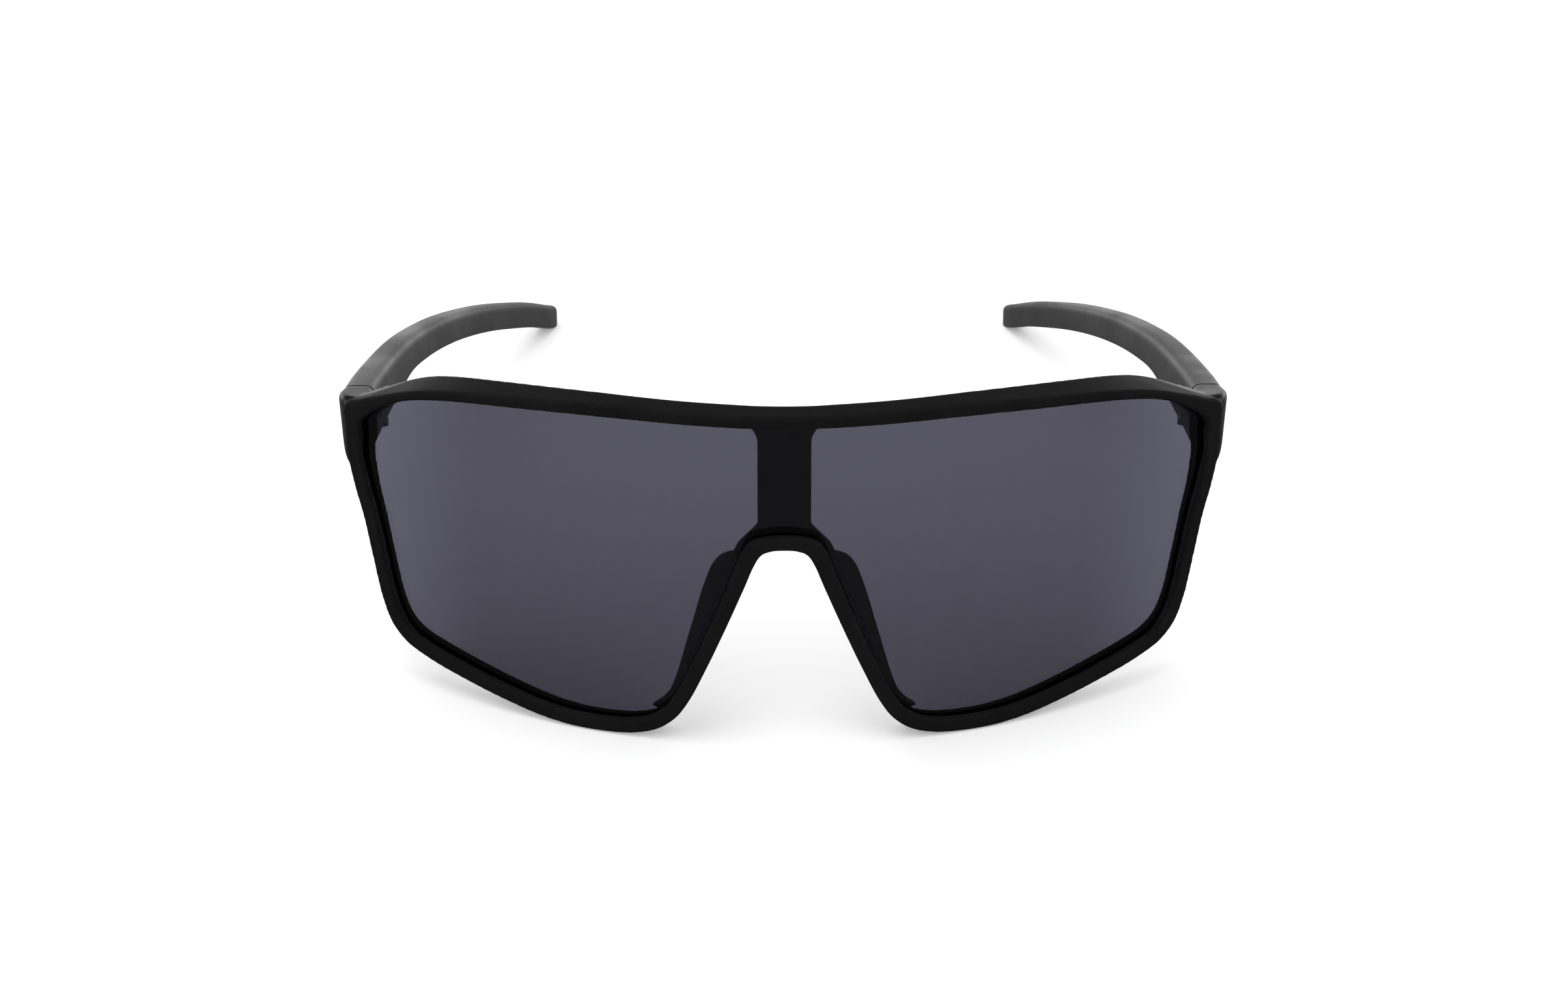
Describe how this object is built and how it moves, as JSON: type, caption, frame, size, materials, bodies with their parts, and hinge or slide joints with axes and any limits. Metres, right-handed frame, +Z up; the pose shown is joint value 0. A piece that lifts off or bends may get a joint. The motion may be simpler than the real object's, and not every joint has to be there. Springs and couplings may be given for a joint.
{
  "type": "sports sunglasses",
  "caption": "Full-rim wraparound sports sunglasses with a one-piece smoke shield lens, a bar behind the lens, soft nose pads and folding curved temples.",
  "frame": {"origin": "on the table plane, below the middle of the box around the open pair", "axes": "+Z up from the table, the lens faces -Y, the temples run to +Y, and +X is to the right of a viewer who faces the lens"},
  "size_m": [0.1438, 0.1576, 0.0546],
  "materials": {
    "black_nylon": "fine satin moulding",
    "smoke_lens": "polished smoke tint",
    "black_rubber": "soft matte",
    "hinge_metal": "dark satin"
  },
  "bodies": {
    "front": {"front_frame": "black_nylon", "shield_lens": "smoke_lens", "nose_pad_left": "black_rubber", "nose_pad_right": "black_rubber", "hinge_front_leaf_left": "hinge_metal", "hinge_front_leaf_right": "hinge_metal", "hinge_screw_left": "hinge_metal", "hinge_screw_right": "hinge_metal", "front_leaf_screw_left_1": "hinge_metal", "front_leaf_screw_left_2": "hinge_metal", "front_leaf_screw_right_1": "hinge_metal", "front_leaf_screw_right_2": "hinge_metal"},
    "left_arm": {"temple_left": "black_nylon", "hinge_temple_leaf_left": "hinge_metal", "temple_leaf_screw_left_1": "hinge_metal", "temple_leaf_screw_left_2": "hinge_metal"},
    "right_arm": {"temple_right": "black_nylon", "hinge_temple_leaf_right": "hinge_metal", "temple_leaf_screw_right_1": "hinge_metal", "temple_leaf_screw_right_2": "hinge_metal"}
  },
  "joints": [
    {"name": "temple_left_fold", "type": "hinge", "parent": "front", "child": "left_arm", "pos_m": [-0.06508, -0.03845, 0.03827], "axis": [0, -0.2289, -0.9734], "range_deg": [0, 86]},
    {"name": "temple_right_fold", "type": "hinge", "parent": "front", "child": "right_arm", "pos_m": [0.06508, -0.03845, 0.03827], "axis": [0, 0.2289, 0.9734], "range_deg": [0, 76]}
  ]
}
